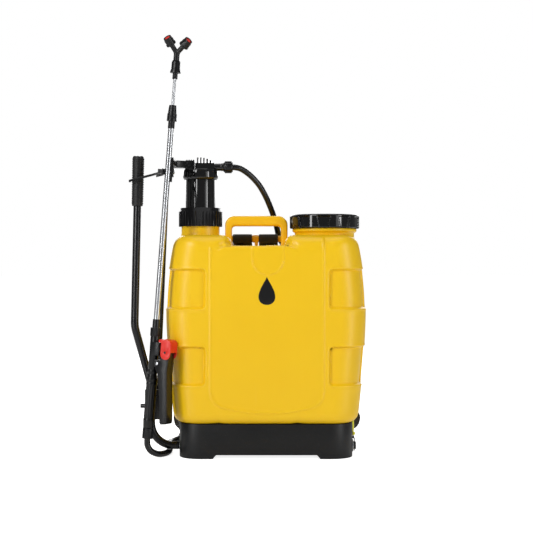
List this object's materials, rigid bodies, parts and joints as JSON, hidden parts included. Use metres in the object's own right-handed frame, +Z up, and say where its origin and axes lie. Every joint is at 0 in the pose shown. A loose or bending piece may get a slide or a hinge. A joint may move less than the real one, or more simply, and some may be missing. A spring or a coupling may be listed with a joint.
{
  "type": "backpack sprayer",
  "caption": "Hand-pumped backpack sprayer: moulded tank on a base, side lever and piston pump, screw lid, straps, hose and a clipped telescopic wand.",
  "frame": {"origin": "on the ground, at the centre of the base's footprint", "axes": "+Z up; +X to the filler's side, away from the lever; -Y is the outer face, +Y faces the wearer's back"},
  "size_m": [0.4285, 0.2394, 0.7521],
  "materials": {
    "yellow_plastic": "blow-moulded, soft satin gloss",
    "orange_plastic": "injection-moulded, satin",
    "yellow_trim": "satin",
    "base_plastic": "fine spark-eroded texture",
    "black_plastic": "satin moulding",
    "gloss_black_plastic": "glossy moulding",
    "white_plastic": "natural nylon",
    "red_plastic": "glossy moulding",
    "grip_rubber": "ribbed soft grip",
    "seal_rubber": "smooth",
    "hose_rubber": "smooth extruded",
    "webbing": "woven polypropylene webbing",
    "black_steel": "black powder coat, satin",
    "stainless_steel": "drawn tube, bright"
  },
  "bodies": {
    "tank": {"base_skirt": "base_plastic", "base_screws": "stainless_steel", "shaft_bushes": "white_plastic", "side_peg": "yellow_trim", "tank_shell": "yellow_plastic", "carry_handle": "orange_plastic", "strap_bracket": "orange_plastic", "bracket_screws": "stainless_steel", "hose_clips": "black_plastic", "left_strap": "webbing", "right_strap": "webbing", "strap_adjusters": "black_plastic", "strap_hooks": "black_steel", "pump_barrel": "black_plastic", "barrel_gasket": "seal_rubber", "foot_valve": "white_plastic", "filler_strainer": "white_plastic", "hose_upper": "hose_rubber", "hose_lower": "hose_rubber"},
    "foot_ball": {"foot_ball": "stainless_steel"},
    "collar": {"collar_nut": "black_plastic"},
    "pump_head": {"air_chamber": "gloss_black_plastic", "chamber_cap": "gloss_black_plastic", "chamber_bolt": "black_steel", "drive_arm": "black_plastic", "piston_head": "white_plastic", "piston_seal": "seal_rubber", "outlet_nut": "black_plastic", "link_pin": "stainless_steel"},
    "outlet_ball": {"outlet_ball": "stainless_steel"},
    "link": {"link_rod": "black_steel"},
    "lever": {"lever_tube": "black_steel", "lever_grip": "grip_rubber", "crank_bracket": "black_steel", "crank_pin": "black_steel", "shaft_washer": "stainless_steel", "cotter_pin": "stainless_steel"},
    "lid_seal": {"lid_gasket": "seal_rubber"},
    "lid": {"filler_lid": "gloss_black_plastic", "breather_valve": "gloss_black_plastic"},
    "wand": {"handle_tube": "black_plastic", "valve_body": "black_plastic", "valve_seal": "seal_rubber", "handle_filter": "white_plastic", "hose_nut": "black_plastic", "lance_nut": "black_plastic", "lance_tube": "stainless_steel", "trigger_pin": "stainless_steel", "lance_seal": "seal_rubber", "valve_spring": "stainless_steel"},
    "trigger": {"trigger": "black_plastic"},
    "trigger_lock": {"trigger_lock": "red_plastic"},
    "valve_stem": {"valve_stem": "stainless_steel"},
    "lance_lock": {"lance_collar": "black_plastic"},
    "extension": {"inner_tube": "stainless_steel", "nozzle_nut": "black_plastic"},
    "nozzle": {"nozzle_fork": "black_plastic", "nozzle_tips": "red_plastic"},
    "left_cap": {"left_cap": "black_plastic"},
    "right_cap": {"right_cap": "black_plastic"}
  },
  "joints": [
    {"name": "collar_turn", "type": "hinge", "parent": "tank", "child": "collar", "pos_m": [-0.121, 0, 0.43], "axis": [0, 0, 1], "continuous": true},
    {"name": "lever_swing", "type": "hinge", "parent": "tank", "child": "lever", "pos_m": [0, -0.035, 0.018], "axis": [-1, 0, 0], "range_deg": [0, 34]},
    {"name": "pump_slide", "type": "slide", "parent": "tank", "child": "pump_head", "axis": [0, 0, -1], "range_m": [0, 0.0445], "deforming": ["hose_upper"]},
    {"name": "link_swing", "type": "hinge", "parent": "pump_head", "child": "link", "pos_m": [-0.181, -0.008, 0.518], "axis": [1, 0, 0], "range_deg": [0, 3.6]},
    {"name": "foot_ball_lift", "type": "slide", "parent": "tank", "child": "foot_ball", "axis": [0, 0, 1], "range_m": [0, 0.003]},
    {"name": "outlet_ball_lift", "type": "slide", "parent": "pump_head", "child": "outlet_ball", "axis": [0, 0, 1], "range_m": [0, 0.003]},
    {"name": "lid_lift", "type": "slide", "parent": "tank", "child": "lid_seal", "axis": [0, 0, 1], "range_m": [0, 0.06]},
    {"name": "lid_turn", "type": "hinge", "parent": "lid_seal", "child": "lid", "pos_m": [0.108, 0, 0.43], "axis": [0, 0, 1], "continuous": true},
    {"name": "wand_unclip", "type": "slide", "parent": "tank", "child": "wand", "axis": [0, -1, 0], "range_m": [0, 0.05], "deforming": ["hose_lower"]},
    {"name": "trigger_pull", "type": "hinge", "parent": "wand", "child": "trigger", "pos_m": [-0.18828, -0.08949, 0.1712], "axis": [0.4056, 0.9135, -0.031], "range_deg": [0, 8], "stiffness_Nm_per_rad": 0.6, "springref_deg": -20.05},
    {"name": "valve_open", "type": "slide", "parent": "wand", "child": "valve_stem", "axis": [0.9109, -0.4067, -0.0696], "range_m": [0, 0.0036], "deforming": ["valve_spring"]},
    {"name": "lock_flip", "type": "hinge", "parent": "trigger", "child": "trigger_lock", "pos_m": [-0.17302, -0.09559, 0.19109], "axis": [0.4056, 0.9135, -0.031], "range_deg": [0, 35]},
    {"name": "lance_lock_turn", "type": "hinge", "parent": "wand", "child": "lance_lock", "pos_m": [-0.16709, -0.084, 0.61036], "axis": [0.0762, 0, 0.9971], "range_deg": [-90, 90]},
    {"name": "lance_extend", "type": "slide", "parent": "wand", "child": "extension", "axis": [0.0762, 0, 0.9971], "range_m": [-0.044, 0.2]},
    {"name": "nozzle_turn", "type": "hinge", "parent": "extension", "child": "nozzle", "pos_m": [-0.16031, -0.084, 0.6991], "axis": [0.0762, 0, 0.9971], "continuous": true},
    {"name": "left_cap_turn", "type": "hinge", "parent": "nozzle", "child": "left_cap", "pos_m": [-0.15855, -0.084, 0.72203], "axis": [-0.4504, -0.5318, 0.7171], "continuous": true},
    {"name": "right_cap_turn", "type": "hinge", "parent": "nozzle", "child": "right_cap", "pos_m": [-0.15855, -0.084, 0.72203], "axis": [0.6454, -0.493, 0.5835], "continuous": true}
  ],
  "couplings": [
    {"joint": "pump_slide", "follows": "lever_swing", "m_per_rad": 0.074775},
    {"joint": "link_swing", "follows": "lever_swing", "ratio": 0.1055},
    {"joint": "valve_open", "follows": "trigger_pull", "m_per_rad": 0.025}
  ]
}
